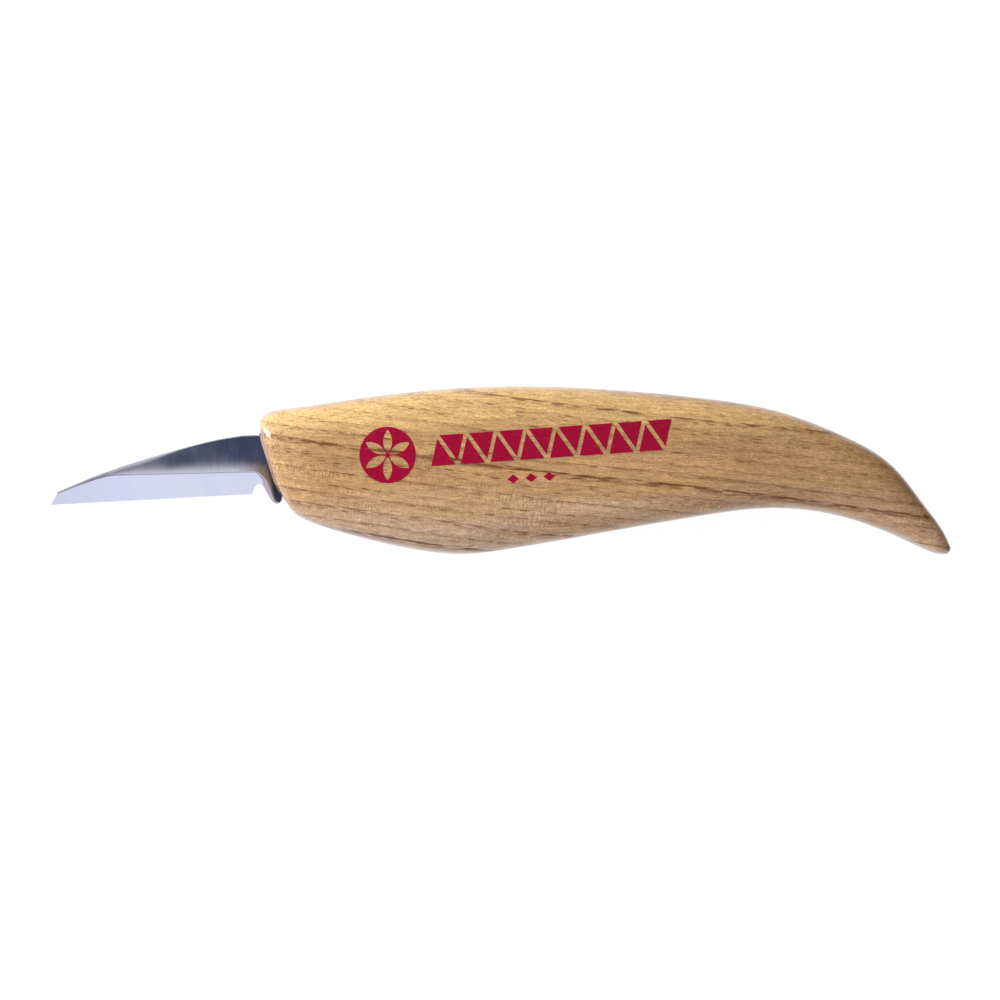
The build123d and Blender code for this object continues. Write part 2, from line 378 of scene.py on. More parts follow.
@dataclass(frozen=True)
class AshGrain:
    """The figure of quarter-sawn ash: growth rings, open pores, fine fibres and ray flecks.

    Sizes are in millimetres and slopes in radians. A band is given by the shares of a ring at which it
    has risen, begins to fall and has fallen.
    """

    slopes: Point = (0.02, math.radians(7.2))
    pith: Triple = (0.0, 96.0, 22.0)
    ring_gap: float = 2.3
    ring_drift_size: float = 7.0
    ring_drift: float = 3.4
    ring_strengths: Point = (0.30, 1.15)
    narrow_band: Triple = (0.04, 0.05, 0.17)
    wide_band: Triple = (0.10, 0.10, 0.62)
    band_strengths: Point = (0.6, 0.85)
    break_size: Triple = (3.4, 0.5, 0.5)
    dash_size: Triple = (2.8, 0.26, 0.26)
    dash_depth: float = 0.48
    cluster_size: Triple = (26.0, 3.4, 9.0)
    pore_size: Triple = (3.0, 0.38, 0.38)
    pore_sizes: Point = (1.0, 0.6)
    pore_reach: float = 0.42
    late_pores: float = 0.45
    fibre_size: Triple = (1.7, 0.22, 0.22)
    ray_size: Triple = (0.25, 1.7, 0.6)
    ray_patch_size: Triple = (24.0, 2.6, 12.0)
    rays_fade: Point = (-1.5, 4.0)
    wave_size: Triple = (70.0, 26.0, 26.0)
    wave_reach: float = 3.2
    ripple_size: Triple = (20.0, 4.0, 4.0)
    ripple_reach: float = 0.6

    def group(self) -> bpy.types.NodeTree:
        """Builds the shader group, or gives the one that is built already.

        Returns:
            A group from a place in millimetres to masks of the rings, the pores, the fibres and the rays,
            with the depth of the rings and the pores.
        """
        name = "ash_grain"
        if name in bpy.data.node_groups:
            return bpy.data.node_groups[name]
        sheet, given, made = new_group(name, {"Depth": 1.0}, ("Rings", "Pores", "Fibres", "Rays"))
        depth = given.outputs["Depth"]
        turned = {"Vector": given.outputs["Vector"], "Rotation": (0, *self.slopes)}
        place = sheet.add("Mapping", turned).outputs[0]
        for size, reach in ((self.wave_size, self.wave_reach), (self.ripple_size, self.ripple_reach)):
            place = self._bent(sheet, place, size, reach)
        rings, early = self._rings(sheet, place)
        results = {
            "Rings": sheet.times(rings, depth),
            "Pores": sheet.times(self._pores(sheet, place, early), depth),
            "Fibres": sheet.noise(place, self.fibre_size, 4.0),
            "Rays": self._rays(sheet, place),
        }
        for socket, value in results.items():
            sheet.tree.links.new(value, made.inputs[socket])
        return sheet.tree

    @staticmethod
    def _bent(sheet: Sheet, place: Any, size: Triple, reach: float) -> Any:
        """Bends the grain across its length, in waves of a size."""
        centred = sheet.vector("SUBTRACT", sheet.noise(place, size, 1.0, "Color"), (0.5, 0.5, 0.5))
        return sheet.vector("ADD", place, sheet.vector("MULTIPLY", centred, (0, reach, reach)))

    @staticmethod
    def _band(sheet: Sheet, phase: Any, band: Triple) -> Any:
        """Marks a band of each ring."""
        risen, held, fallen = band
        return sheet.times(sheet.ramp(phase, 0.0, risen), sheet.ramp(phase, held, fallen, 1.0, 0.0))

    def _rings(self, sheet: Sheet, place: Any) -> tuple[Any, Any]:
        """Marks the dark early wood of each ring, in broken rows, and the whole band it lies in."""
        across = sheet.vector("MULTIPLY", sheet.vector("SUBTRACT", place, self.pith), (0, 1, 1))
        radius = sheet.vector("LENGTH", across)
        outwards = sheet.add("CombineXYZ", {"X": radius}).outputs[0]
        drift = sheet.times(sheet.noise(outwards, (self.ring_drift_size,) * 3), self.ring_drift)
        count = sheet.math("ADD", sheet.math("DIVIDE", radius, self.ring_gap), drift)
        phase, number = sheet.math("FRACT", count), sheet.math("FLOOR", count)
        strength = sheet.add("TexWhiteNoise", {"W": number}, noise_dimensions="1D").outputs["Value"]
        narrow, wide = (self._band(sheet, phase, band) for band in (self.narrow_band, self.wide_band))
        parts = (sheet.times(*pair) for pair in zip((narrow, wide), self.band_strengths))
        scaled = sheet.times(sheet.math("ADD", *parts), sheet.ramp(strength, 0.0, 1.0, *self.ring_strengths))
        broken = sheet.ramp(sheet.noise(place, self.break_size, 4.0), 0.38, 0.57, 0.10, 1.0)
        clusters = sheet.ramp(sheet.noise(place, self.cluster_size), 0.46, 0.60)
        dashes = sheet.ramp(sheet.noise(place, self.dash_size, 3.0), 0.54, 0.66)
        between = sheet.times(sheet.times(clusters, dashes), self.dash_depth)
        return sheet.math("MAXIMUM", sheet.times(scaled, broken), between), wide

    def _pores(self, sheet: Sheet, place: Any, early: Any) -> Any:
        """Scatters short dark pores of two sizes along the grain, most of them in the early wood."""
        layers = []
        for share in self.pore_sizes:
            sized = sheet.scaled(place, tuple(1 / (s * share) for s in self.pore_size))
            cells = sheet.add("TexVoronoi", {"Vector": sized, "Scale": 1.0, "Randomness": 1.0})
            chosen = sheet.add("SeparateColor", {"Color": cells.outputs["Color"]}).outputs["Red"]
            grown = sheet.ramp(chosen, 0.25, 0.95, 0.0, self.pore_reach)
            reach = sheet.times(grown, sheet.ramp(early, 0, 1, self.late_pores, 1.0))
            inside = sheet.math("SUBTRACT", reach, cells.outputs["Distance"])
            layers.append(sheet.times(sheet.ramp(inside, -0.03, 0.10), share))
        return sheet.math("MAXIMUM", *layers)

    def _rays(self, sheet: Sheet, place: Any) -> Any:
        """Marks the short flecks across the grain, which come and go in patches."""
        flecks = sheet.math("SUBTRACT", sheet.noise(place, self.ray_size), 0.5)
        patches = sheet.ramp(sheet.noise(place, self.ray_patch_size, 3.0), 0.47, 0.62)
        lean = sheet.ramp(sheet.axis(place, "Y"), *self.rays_fade, 1.0, 0.15)
        return sheet.times(flecks, sheet.times(patches, lean))


@dataclass(frozen=True)
class AshFinish:
    """Pale ash under a clear gloss lacquer."""

    golden: Colour = linear(219, 178, 114)
    brown: Colour = linear(202, 159, 108)
    pale: Colour = linear(230, 196, 166)
    # Partly the wood's tone, partly painted light falloff towards the butt.
    tan: Colour = linear(184, 140, 90)
    # Painted shade on the tail's upper corner.
    painted_tail_shade: Colour = linear(136, 100, 62)
    early: Colour = linear(126, 78, 42)
    pore: Colour = linear(112, 66, 22)
    ring_depth: float = 0.80
    pore_depth: float = 0.72
    grit_size: Triple = (0.42, 0.25, 0.25)
    streak_size: Triple = (7.0, 0.55, 0.55)
    cloud_size: Triple = (34.0, 5.0, 8.0)
    drift_size: Triple = (60.0, 7.0, 12.0)
    drift_slope: float = 0.05
    # Where the tan and its painted light falloff come in along the grip.
    tan_and_falloff_between: Point = (-10.0, 80.0)
    # Where the painted shade on the tail's upper corner comes in.
    painted_tail_shade_between: Point = (66.0, 79.0)
    grain: AshGrain = field(default_factory=AshGrain)

    def material(self) -> bpy.types.Material:
        """Builds the material.

        Returns:
            Ash wood with its figure in colour, roughness and height.
        """
        material, sheet, place = new_material("lacquered_ash")
        masks = use_group(sheet, self.grain.group(), place)
        tones = (
            (masks["Fibres"], 0.25, 0.75, 0.20),
            (sheet.noise(place, self.grit_size), 0.25, 0.75, 0.20),
            (sheet.noise(place, self.streak_size), 0.3, 0.7, 0.12),
            (masks["Rays"], -0.22, 0.22, 0.26),
        )
        colour = self._ground(sheet, place)
        for tone in tones:
            colour = sheet.tone(colour, *tone)
        darks = {"Rings": (self.ring_depth, self.early), "Pores": (self.pore_depth, self.pore)}
        for mask, (depth, dark) in darks.items():
            colour = sheet.mix(sheet.times(masks[mask], depth), colour, dark)
        height = sheet.math("SUBTRACT", sheet.times(masks["Fibres"], 0.25), masks["Pores"])
        rough = sheet.ramp(masks["Pores"], 0.0, 1.0, 0.24, 0.5)
        sheet.finish(
            {
                "Base Color": colour, "Roughness": rough, "Normal": sheet.bump(height, 0.5, 0.05),
                "IOR": 1.45, "Specular IOR Level": 0.3,
                "Coat Weight": 0.7, "Coat Roughness": 0.08, "Coat IOR": 1.45,
            }
        )
        return material

    def _ground(self, sheet: Sheet, place: Any) -> Any:
        """Mixes the ground colour: golden near the back, pale near the belly, tan with painted falloff and
        shade at the butt.
        """
        along, up = sheet.axis(place, "X"), sheet.axis(place, "Y")
        drift = sheet.noise(place, self.drift_size, 3.0)
        level = sheet.math("ADD", sheet.times(up, self.drift_slope), drift)
        ground = sheet.mix(sheet.ramp(level, -0.25, 0.38), self.pale, self.brown)
        ground = sheet.mix(sheet.ramp(level, 0.7, 1.1), ground, self.golden)
        ground = sheet.tone(ground, sheet.noise(place, self.cloud_size, 3.0), 0.3, 0.7, 0.10)
        # Tan towards the butt: partly the wood's tone, partly painted light falloff.
        ground = sheet.mix(sheet.ramp(along, *self.tan_and_falloff_between, 0.0, 0.55), ground, self.tan)
        # Painted shade on the tail's upper corner.
        corner = sheet.ramp(sheet.math("ADD", along, up), *self.painted_tail_shade_between, 0.0, 0.6)
        return sheet.mix(corner, ground, self.painted_tail_shade)


class SteelLook(Enum):
    """How a part of the blade was worked."""

    GROUND = "ground_steel"
    BEVEL = "polished_steel"
    CREASE = "painted_crease_shade_steel"
    # The dark line along the crease is painted shade.
    PLUNGE = "plunge_steel"


@dataclass(frozen=True)
class GrindMarks:
    """The marks of the grinding wheel: fine lines across the blade and soft smears."""

    line_size: Triple = (0.09, 5.0, 5.0)
    smear_size: Triple = (2.6, 4.0, 3.0)

    def group(self) -> bpy.types.NodeTree:
        """Builds the shader group, or gives the one that is built already.

        Returns:
            A group from a place in millimetres to the lines and the smears, both about 0.5 on average.
        """
        name = "grind_marks"
        if name in bpy.data.node_groups:
            return bpy.data.node_groups[name]
        sheet, given, made = new_group(name, {"Coarseness": 1.0}, ("Lines", "Smears"))
        inverse = sheet.math("DIVIDE", 1.0, given.outputs["Coarseness"])
        place = sheet.amplify(given.outputs["Vector"], inverse)
        for socket, size in (("Lines", self.line_size), ("Smears", self.smear_size)):
            sheet.tree.links.new(sheet.noise(place, size, 3.0), made.inputs[socket])
        return sheet.tree


@dataclass(frozen=True)
class SteelFinish:
    """Carbon steel with fine grinding lines across the blade and a brighter, polished bevel.

    Places are in millimetres in the frame, and reaches are distances from them.
    """

    steel: Colour = linear(222, 222, 232)
    polished: Colour = linear(229, 232, 255)
    # Painted shade on the bevel, darkest at the tip and gone by the second place.
    painted_tip_shade_between: Point = (-82.0, -55.0)
    # A line of painted shade along the crease, which fades out between the places below.
    painted_crease_shade: Colour = linear(152, 142, 154)
    painted_crease_shade_fades: Point = (-76.0, -66.0)
    # Painted brownish shade in the plunge beside the grip, round this place and within this reach.
    painted_plunge_shaded: Colour = linear(158, 138, 112)
    painted_plunge_shaded_at: Triple = (-44.6, -2.6, 10.0)
    painted_plunge_shaded_reach: Point = (2.0, 6.5)
    mauve: Colour = linear(182, 167, 176)
    notch_at: Triple = (-45.6, -4.3, 10.0)
    notch_marks: float = 17.0
    notch_reach: Point = (1.9, 3.1)
    marks: GrindMarks = field(default_factory=GrindMarks)

    def material(self, look: SteelLook) -> bpy.types.Material:
        """Builds the steel of one look.

        Args:
            look: how that part of the blade was worked.

        Returns:
            The steel's material.
        """
        material, sheet, place = new_material(look.value)
        paint, coarseness = {
            SteelLook.GROUND: (self._ground, 1.0),
            SteelLook.BEVEL: (self._bevel, 1.6),
            SteelLook.CREASE: (self._crease, 0.6),
            SteelLook.PLUNGE: (self._plunge, 0.4),
        }[look]
        marks = use_group(sheet, self.marks.group(), place, Coarseness=coarseness)
        colour, rough, height, depth = paint(sheet, place, marks["Lines"], marks["Smears"])
        normal = sheet.bump(height, depth, 0.01)
        sheet.finish({"Base Color": colour, "Roughness": rough, "Normal": normal, "Metallic": 1.0})
        return material

    def _ground(self, sheet: Sheet, place: Any, lines: Any, smears: Any) -> tuple[Any, Any, Any, float]:
        """Paints the flats, the shoulders and the guard, with a painted brownish shade in the plunge beside
        the grip.
        """
        away = sheet.vector("DISTANCE", place, self.painted_plunge_shaded_at)
        near = sheet.ramp(away, *self.painted_plunge_shaded_reach, 1.0, 0.0)
        # Painted shade in the plunge beside the grip.
        painted_plunge_shade = sheet.times(near, sheet.ramp(smears, 0.2, 0.6, 0.7, 1.0))
        colour = sheet.tone(sheet.mix(painted_plunge_shade, self.steel, self.painted_plunge_shaded), lines, 0.25, 0.75, 0.09)
        return colour, sheet.ramp(smears, 0.3, 0.8, 0.10, 0.15), lines, 0.06

    def _bevel(self, sheet: Sheet, place: Any, lines: Any, smears: Any) -> tuple[Any, Any, Any, float]:
        """Paints the bright bevel, with painted shade towards the tip and a few curved marks beside the
        notch.
        """
        away = sheet.vector("DISTANCE", place, self.notch_at)
        arcs = sheet.math("SINE", sheet.times(away, self.notch_marks))
        near = sheet.times(sheet.ramp(away, *self.notch_reach, 1.0, 0.0), sheet.ramp(smears, 0.3, 0.6))
        colour = sheet.tone(self.polished, smears, 0.3, 0.7, 0.025)
        # Painted shade, darker towards the tip.
        colour = sheet.tone(colour, sheet.axis(place, "X"), *self.painted_tip_shade_between, 0.035)
        colour = sheet.tone(colour, sheet.times(arcs, near), -1.0, 1.0, 0.10)
        return colour, sheet.ramp(smears, 0.3, 0.8, 0.12, 0.18), lines, 0.015

    def _crease(self, sheet: Sheet, place: Any, lines: Any, smears: Any) -> tuple[Any, Any, Any, float]:
        """Paints a line of painted shade along the crease above the bevel, rougher than the flats, that
        fades towards the heel.
        """
        fade = sheet.ramp(sheet.axis(place, "X"), *self.painted_crease_shade_fades)
        # Painted shade along the crease near the tip.
        colour = sheet.mix(fade, self.painted_crease_shade, self.steel)
        return colour, sheet.ramp(smears, 0.3, 0.7, 0.25, 0.35), lines, 0.05

    def _plunge(self, sheet: Sheet, place: Any, lines: Any, smears: Any) -> tuple[Any, Any, Any, float]:
        """Paints the wall where the bevel ends."""
        colour = sheet.tone(self.mauve, smears, 0.3, 0.7, 0.08)
        return colour, sheet.ramp(smears, 0.3, 0.7, 0.28, 0.36), smears, 0.05


@dataclass(frozen=True)
class InkFinish:
    """Crimson printing ink, a little thin where the wood's pores are open under it."""

    ink: Colour = linear(164, 8, 50)
    thin: Colour = linear(186, 60, 66)
    speck_size: Triple = (0.4, 0.3, 0.3)
    grain_depth: float = 0.3
    grain: AshGrain = field(default_factory=AshGrain)

    def material(self) -> bpy.types.Material:
        """Builds the material.

        Returns:
            Ink that follows the grain of the wood under it.
        """
        material, sheet, place = new_material("crimson_ink")
        masks = use_group(sheet, self.grain.group(), place, Depth=self.grain_depth)
        specks = sheet.noise(place, self.speck_size)
        worn = sheet.math("MAXIMUM", masks["Pores"], sheet.ramp(specks, 0.66, 0.78, 0.0, 0.7))
        colour = sheet.tone(sheet.mix(worn, self.ink, self.thin), masks["Fibres"], 0.25, 0.75, 0.12)
        rough = sheet.ramp(specks, 0.3, 0.7, 0.4, 0.55)
        normal = sheet.bump(masks["Pores"], 0.25, 0.03, invert=True)
        sheet.finish(
            {
                "Base Color": colour, "Roughness": rough, "Normal": normal,
                "Specular IOR Level": 0.05, "Coat Weight": 0.8, "Coat Roughness": 0.08,
            }
        )
        return material


@dataclass(frozen=True)
class EpoxyFinish:
    """Dark amber adhesive."""

    amber: Colour = linear(92, 70, 42)
    light: Colour = linear(128, 102, 66)
    cloud_size: Triple = (0.9, 0.7, 0.7)

    def material(self) -> bpy.types.Material:
        """Builds the material.

        Returns:
            Adhesive with faint clouds and a low gloss.
        """
        material, sheet, place = new_material("amber_epoxy")
        cloud = sheet.noise(place, self.cloud_size, 3.0)
        colour = sheet.mix(sheet.ramp(cloud, 0.3, 0.7), self.amber, self.light)
        sheet.finish({"Base Color": colour, "Roughness": sheet.ramp(cloud, 0.3, 0.7, 0.3, 0.45)})
        return material


# --- Grip ---------------------------------------------------------------------------------------------


@dataclass
class Grip:
    """The one-piece wooden grip. Its sizes are in millimetres, from the blade's tip."""

    layout: Layout
    back_line: Sequence[Point] = (
        (39.65, 7.2), (39.65, 9.2), (40.3, 10.4), (41.6, 11.1), (45.0, 11.7), (55.0, 13.15), (68.0, 14.8),
        (85.0, 15.85), (105.0, 15.3), (125.0, 13.45), (137.0, 11.3), (149.0, 6.9), (159.0, 0.95),
        (165.2, -6.7), (169.4, -13.0), (170.0, -14.7),
    )
    belly_line: Sequence[Point] = (
        (42.95, -3.2), (44.0, -5.1), (45.8, -7.7), (50.2, -10.1), (60.0, -13.0), (70.0, -15.1),
        (77.4, -15.75), (86.5, -14.85), (104.0, -11.8), (122.0, -8.7), (136.0, -7.1), (147.0, -8.1),
        (159.0, -12.0), (165.1, -14.8), (168.3, -15.8), (169.6, -15.6), (170.0, -14.7),
    )
    half: float = 10.0
    crown: float = 0.35
    flat_softness: float = 0.10
    front_thinning: float = 2.3
    butt_thinning: float = 3.4
    front_thins_before: float = 0.12
    butt_thins_after: float = 0.54
    front_round: float = 2.8
    front_round_share: float = 0.045
    butt_round: float = 3.0
    butt_round_share: float = 0.035
    squareness: float = 4.0
    end_squareness: float = 2.8
    points: int = 112
    ribs: int = 190
    last_share: float = 0.9985
    front_dome: float = 0.42
    front_rings: int = 8
    dome_power: float = 2.2
    mortise_depth: float = 43.5
    mortise_mouth: Point = (5.45, -1.85)
    mortise_bottom: Point = (3.85, -0.65)
    mortise_half: float = 1.45
    mortise_squareness: float = 8.0
    mortise_ring: float = 0.93
    hand_wave: float = 0.035
    hand_wave_rate: float = 0.09
    hand_wave_fade: float = 2.0
    hand_thinning: float = 0.03

    def __post_init__(self) -> None:
        """Fits the back and the belly."""
        self.back = SmoothLine(self.back_line)
        self.belly = SmoothLine(self.belly_line)

    def half_thickness(self, share: float) -> float:
        """Gives the half thickness at a share of the grip's length, before the flats are planed."""
        half = self.half + self.crown
        if share < self.front_thins_before:
            half -= self.front_thinning * (1 - share / self.front_thins_before) ** 2
        if share > self.butt_thins_after:
            half -= self.butt_thinning * ((share - self.butt_thins_after) / (1 - self.butt_thins_after)) ** 2
        for way, radius, reach in (
            (share, self.front_round, self.front_round_share),
            (1 - share, self.butt_round, self.butt_round_share),
        ):
            if way < reach:
                half -= radius * (1 - math.sqrt(1 - (1 - way / reach) ** 2))
        return half

    def power(self, share: float) -> float:
        """Gives how square the grip's section is at a share of its length."""
        swell = max(0.0, math.sin(math.pi * share**0.8)) ** 0.5
        return self.end_squareness + (self.squareness - self.end_squareness) * swell

    def rib(self, share: float) -> list[Vector]:
        """Gives the points of one section, from the back over the upper side to the belly and round."""
        back, belly = self.back.at(share), self.belly.at(share)
        centre, reach = (back + belly) / 2, (back - belly) / 2
        half, power = self.half_thickness(share), self.power(share)
        places = []
        for along, across in self._circle(power):
            x, y = centre + reach * along
            height = half * across
            z = math.copysign(soft_limit(abs(height), self.half, self.flat_softness), height)
            places.append(self._by_hand(x, y, z))
        return places

    def _circle(self, power: float) -> Iterator[Point]:
        """Goes round a circle that is drawn out towards a square, the more so the higher the power."""
        for step in range(self.points):
            angle = math.tau * step / self.points
            along, across = math.cos(angle), math.sin(angle)
            radius = (abs(along) ** power + abs(across) ** power) ** (-1 / power)
            yield radius * along, radius * across

    def _by_hand(self, x: float, y: float, z: float) -> Vector:
        """Lets the edges wander a little, as sanding by hand leaves them, but never past the flats."""
        place = Vector((x, y, z))
        wave = noise.noise(place * self.hand_wave_rate) * self.hand_wave
        inwards = min(1.0, (self.half - abs(z)) / self.hand_wave_fade)
        return self.layout.at(x, y + wave * inwards, z * (1 - abs(wave) * self.hand_thinning))

    def mouth(self, first: list[Vector]) -> list[list[Vector]]:
        """Gives the rings from the mortise's bottom out over the domed front face to the first rib.

        Args:
            first: the first rib.

        Returns:
            The rings, in that order, without the first rib.
        """
        bottom_x = self.belly_line[0][0] + self.mortise_depth
        ranges = (self.mortise_mouth, self.mortise_bottom)
        slot, bottom = [], []
        for up, out in self._circle(self.mortise_squareness):
            z = self.mortise_half * out
            y_mouth, y_bottom = ((high + low) / 2 + (high - low) / 2 * up for high, low in ranges)
            slot.append(self.layout.at(self._front_x(y_mouth), y_mouth, z))
            bottom.append(self.layout.at(bottom_x, y_bottom, z))
        outwards = self._front_normal()
        rings = [bottom, [b.lerp(s, self.mortise_ring) for b, s in zip(bottom, slot)]]
        for number in range(self.front_rings):
            way = number / self.front_rings
            lift = outwards * (self.front_dome * MM * (1 - way**self.dome_power))
            rings.append([s.lerp(f, way) + lift for s, f in zip(slot, first)])
        return rings

    def _front_x(self, y: float) -> float:
        """Gives the X of the front face's plane at a Y."""
        (x_back, y_back), (x_belly, y_belly) = self.back_line[0], self.belly_line[0]
        return x_back + (x_belly - x_back) * (y_back - y) / (y_back - y_belly)

    def _front_normal(self) -> Vector:
        """Gives the direction that the front face looks in."""
        (x_back, y_back), (x_belly, y_belly) = self.back_line[0], self.belly_line[0]
        return Vector((y_belly - y_back, x_back - x_belly, 0)).normalized()

    def shares(self) -> list[float]:
        """Gives where the ribs stand, closer together at both ends."""
        count = self.ribs - 1
        return [self.last_share * 0.5 * (1 - math.cos(math.pi * n / count)) for n in range(self.ribs)]

    def build(self) -> bpy.types.Object:
        """Builds the grip.

        Returns:
            The grip's object, without a material.
        """
        ribs = [self.rib(share) for share in self.shares()]
        mesh, rings = skin(self.mouth(ribs[0]) + ribs)
        for edge in mesh.edges:
            if all(v in rings[2] for v in edge.verts):
                edge.smooth = False
        return as_object(mesh, "grip_body")

    def dress(self, piece: bpy.types.Object) -> None:
        """Gives the grip its wood."""
        piece.data.materials.append(AshFinish().material())


# --- Blade --------------------------------------------------------------------------------------------


@dataclass
class Blade:
    """The blade with its guard and tang. Its sizes are in millimetres, from its tip."""

    layout: Layout
    edge_half: float = 0.03
    edge_from: Point = (0.0, -6.5)
    edge_to: Point = (37.8, -4.46)
    crease_line: Sequence[Point] = (
        (1.12, -4.42), (6.0, -2.52), (8.6, -1.62), (10.6, -1.06), (11.9, -0.88), (14.0, -0.83),
        (36.0, -0.33),
    )
    spine_line: Sequence[Point] = (
        (1.3, -4.02), (7.5, -1.4), (15.0, 1.25), (24.2, 4.0), (31.5, 5.85), (36.0, 6.62),
    )
    crease_half: Sequence[Point] = (
        (1.1, 0.30), (6.0, 0.59), (12.0, 0.82), (22.0, 1.04), (39.4, 1.06), (41.4, 1.17), (42.4, 1.19),
    )
    distal_taper: Sequence[Point] = (
        (0.0, 0.36), (6.0, 0.65), (12.0, 0.89), (18.0, 1.09), (24.0, 1.2), (46.0, 1.2),
    )
    crease_width: float = 0.15
    crease_share: float = 0.25
    shoulder_reach: float = 3.0
    least_shoulder: float = 0.005
    facet_slope: float = 0.115
    wall_slope: float = 0.80
    wall_steps: int = 60
    wall_limit: float = 0.9
    plunge_from: Point = (37.4, 2.2)
    row_under_crease: float = 0.02
    spine_ease: Point = (0.03, 0.06)
    spine_ease_reach: Point = (0.10, 1.2)
    spine_eased: Point = (24.0, 8.0)
    heel_keys: Sequence[tuple[Point, Point, Point]] = (
        ((36.0, -4.557), (36.0, -0.33), (36.0, 6.62)),
        ((37.2, -4.492), (37.6, -0.30), (38.2, 6.72)),
        ((37.88, -4.44), (38.45, -0.31), (40.2, 6.75)),
        ((38.17, -4.17), (38.85, -0.40), (42.2, 6.72)),
        ((38.26, -3.75), (39.2, -0.55), (43.5, 6.2)),
        ((38.5, -3.12), (39.6, -0.80), (43.7, 5.0)),
        ((38.93, -2.68), (40.0, -1.13), (43.7, 3.6)),
        ((39.45, -2.56), (40.35, -1.54), (43.7, 2.2)),
        ((39.95, -2.8), (40.66, -2.0), (43.7, 0.8)),
        ((40.42, -3.45), (40.95, -2.6), (43.7, -0.6)),
        ((40.88, -4.33), (41.28, -3.45), (43.7, -1.9)),
        ((41.36, -5.15), (41.62, -4.45), (43.72, -3.2)),
        ((41.85, -5.8), (41.95, -5.38), (43.78, -4.5)),
        ((42.35, -6.16), (42.35, -5.95), (43.74, -5.35)),
        ((42.9, -6.27), (42.9, -6.16), (43.45, -5.98)),
    )
    stations: int = 70
    heel_stations: int = 70
    tip_crowding: float = 1.25
    facet_rows: int = 12
    facet_crowding: float = 1.5
    spine_rows: Triple = (0.6, 0.3, 0.12)
    tang_length: float = 41.3
    tang_steps: int = 12
    tang_root: Point = (5.2, -1.6)
    tang_end: Point = (3.6, -0.4)
    rear_x: float = 43.4
    rear_slack: float = 0.3

    def __post_init__(self) -> None:
        """Fits the spine and the heel's three lines."""
        self.spine = SmoothLine(self.spine_line)
        self.thickness = SmoothLine(self.distal_taper)
        self.heel = [SmoothLine(line, by_length=False) for line in zip(*self.heel_keys)]

    def edge_height(self, x: float) -> float:
        """Gives the cutting edge's Y at an X."""
        (x0, y0), (x1, y1) = self.edge_from, self.edge_to
        return y0 + (y1 - y0) * (x - x0) / (x1 - x0)

    def crease_height(self, x: float) -> float:
        """Gives the Y at an X of the line where the bevel meets the upper facet."""
        return float(np.interp(x, *np.array(self.crease_line).T))

    def crease_thickness(self, x: float) -> float:
        """Gives the blade's half thickness along that line."""
        return float(np.interp(x, *np.array(self.crease_half).T))

    def bevel(self, x: float, y: float) -> float:
        """Gives the bevel's half thickness at a place."""
        low, high = self.edge_height(x), self.crease_height(x)
        share = (y - low) / (high - low)
        return self.edge_half + (self.crease_thickness(x) - self.edge_half) * max(0.0, share)

    def lines(self) -> list[tuple[np.ndarray, np.ndarray, np.ndarray]]:
        """Gives each station's points on the edge, on the crease and on the spine."""
        last_x = self.heel_keys[0][0][0]
        first_x = (self.edge_from[0], self.crease_line[0][0], self.spine_line[0][0])
        heights = (self.edge_height, self.crease_height, self.spine.over)
        found = []
        for number in range(self.stations):
            share = (number / self.stations) ** self.tip_crowding
            places = [x + (last_x - x) * share for x in first_x]
            found.append(tuple(np.array((x, height(x))) for x, height in zip(places, heights)))
        for number in range(self.heel_stations + 1):
            found.append(tuple(line.at(number / self.heel_stations) for line in self.heel))
        return found

    def _wall_start(self, edge: np.ndarray, crease: np.ndarray) -> float:
        """Finds how far down from the crease the plunge's wall meets the bevel, as a share of the way."""
        length = float(np.hypot(*(edge - crease)))
        for step in range(1, self.wall_steps):
            share = step / self.wall_steps
            x, y = crease + (edge - crease) * share
            wall = self.crease_thickness(x) - self.wall_slope * length * share
            if wall <= self.bevel(x, y):
                return share
        return self.wall_limit

    def side(self, edge: np.ndarray, crease: np.ndarray, spine: np.ndarray) -> list[Triple]:
        """Gives one station's points on the upper side, from the edge to the spine.

        Args:
            edge: the station's point on the edge, or on the notch or the guard's outline.
            crease: its point on the line above the bevel or along the top of the plunge.
            spine: its point on the spine, or on the rear edge inside the grip.

        Returns:
            The points as X, Y and height over the mid-plane.
        """
        start, run = self.plunge_from
        plunge = float(np.clip((crease[0] - start) / run, 0.0, 1.0))
        top = self.crease_thickness(crease[0])
        length = max(1e-6, float(np.hypot(*(edge - crease))))
        meets = self.row_under_crease
        if plunge > 0:
            meets += (self._wall_start(edge, crease) - meets) * plunge
        points = []
        for share in (1.0, (1.0 + meets) / 2, meets):
            x, y = crease + (edge - crease) * share
            level = self.bevel(x, y)
            if plunge > 0:
                level = max(level, top - self.wall_slope * length * share)
            points.append((x, y, min(level, top)))
        points.append((crease[0], crease[1], top))
        away = spine - crease
        height = max(1e-6, float(np.hypot(*away)))
        line = min(self.crease_share, self.crease_width / height)
        steps = [(n / self.facet_rows) ** self.facet_crowding for n in range(self.facet_rows + 1)]
        rows = [line + (1.0 - line) * step for step in steps]
        rows[-1:-1] = [rows[-1] - (rows[-1] - rows[-2]) * part for part in self.spine_rows]
        for share in rows:
            x, y = crease + away * share
            level = self._facet(x, top, height * share) - self._spine_fall(crease[0], (1 - share) * height)
            points.append((x, y, level))
        return points

    def _facet(self, x: float, top: float, from_crease: float) -> float:
        """Gives the half thickness above the crease, where the shoulder runs out softly into the flat."""
        drop = max(self.least_shoulder, self.thickness.over(x) - top)
        reach = self.shoulder_reach * drop / self.facet_slope
        return top + drop * (1 - max(0.0, 1 - from_crease / reach) ** 3)

